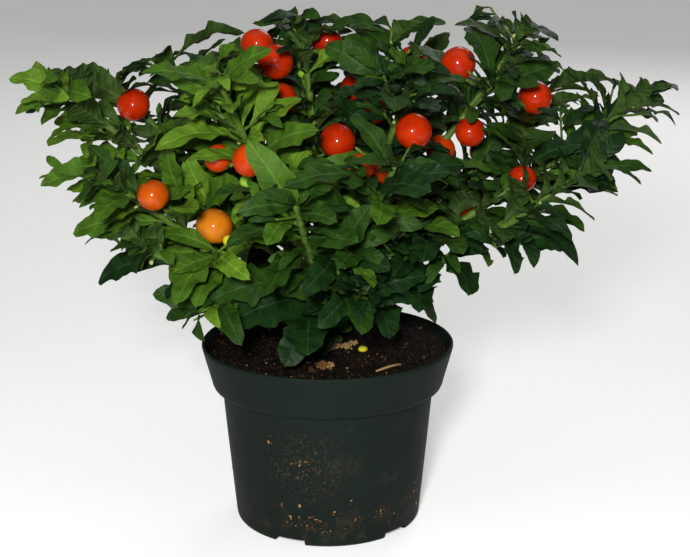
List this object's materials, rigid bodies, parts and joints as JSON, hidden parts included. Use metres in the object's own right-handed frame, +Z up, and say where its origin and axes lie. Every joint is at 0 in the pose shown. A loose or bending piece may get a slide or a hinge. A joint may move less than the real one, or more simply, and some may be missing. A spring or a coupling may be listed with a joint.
{
  "type": "potted jerusalem cherry",
  "caption": "Low, wide evergreen shrub with lance-shaped leaves and round orange-red berries, in its nursery pot of soil",
  "frame": {"origin": "middle of the pot's flat underside, on the plane that it stands on", "axes": "+Z up; -Y is the front, the side the picture shows; +X is to the right of that front"},
  "size_m": [0.3057, 0.2336, 0.2447],
  "materials": {
    "pot": "satin dark grey-green moulded plastic",
    "soil": "moist dark peat",
    "bark": "thin grey-brown bark",
    "bough": "smooth green stem",
    "foliage": "glossy green leaves with orange-red berries"
  },
  "bodies": {
    "root": {"pot": "pot", "soil": "soil", "trunk": "bark", "bough_back": "bough", "bough_back_left": "bough", "bough_back_right": "bough", "bough_far_left_back": "bough", "bough_far_right_back": "bough", "bough_front": "bough", "bough_front_low": "bough", "bough_front_low_right": "bough", "bough_front_mid": "bough", "bough_front_right": "bough", "bough_inner_back": "bough", "bough_inner_right": "bough", "bough_left_front": "bough", "bough_left_long": "bough", "bough_left_low": "bough", "bough_low_back": "bough", "bough_low_back_left": "bough", "bough_low_back_right": "bough", "bough_low_left": "bough", "bough_low_right": "bough", "bough_low_right_back": "bough", "bough_right_far": "bough", "bough_right_low": "bough", "bough_right_mid": "bough", "bough_right_top": "bough", "bough_top_left": "bough", "bough_top_right": "bough", "bough_upper_left": "bough", "foliage_back": "foliage", "foliage_back_left": "foliage", "foliage_back_right": "foliage", "foliage_far_left_back": "foliage", "foliage_far_right_back": "foliage", "foliage_front": "foliage", "foliage_front_low": "foliage", "foliage_front_low_right": "foliage", "foliage_front_mid": "foliage", "foliage_front_right": "foliage", "foliage_inner_back": "foliage", "foliage_inner_right": "foliage", "foliage_left_front": "foliage", "foliage_left_long": "foliage", "foliage_left_low": "foliage", "foliage_low_back": "foliage", "foliage_low_back_left": "foliage", "foliage_low_back_right": "foliage", "foliage_low_left": "foliage", "foliage_low_right": "foliage", "foliage_low_right_back": "foliage", "foliage_right_far": "foliage", "foliage_right_low": "foliage", "foliage_right_mid": "foliage", "foliage_right_top": "foliage", "foliage_top": "foliage", "foliage_top_left": "foliage", "foliage_top_right": "foliage", "foliage_upper_left": "foliage"}
  },
  "joints": []
}
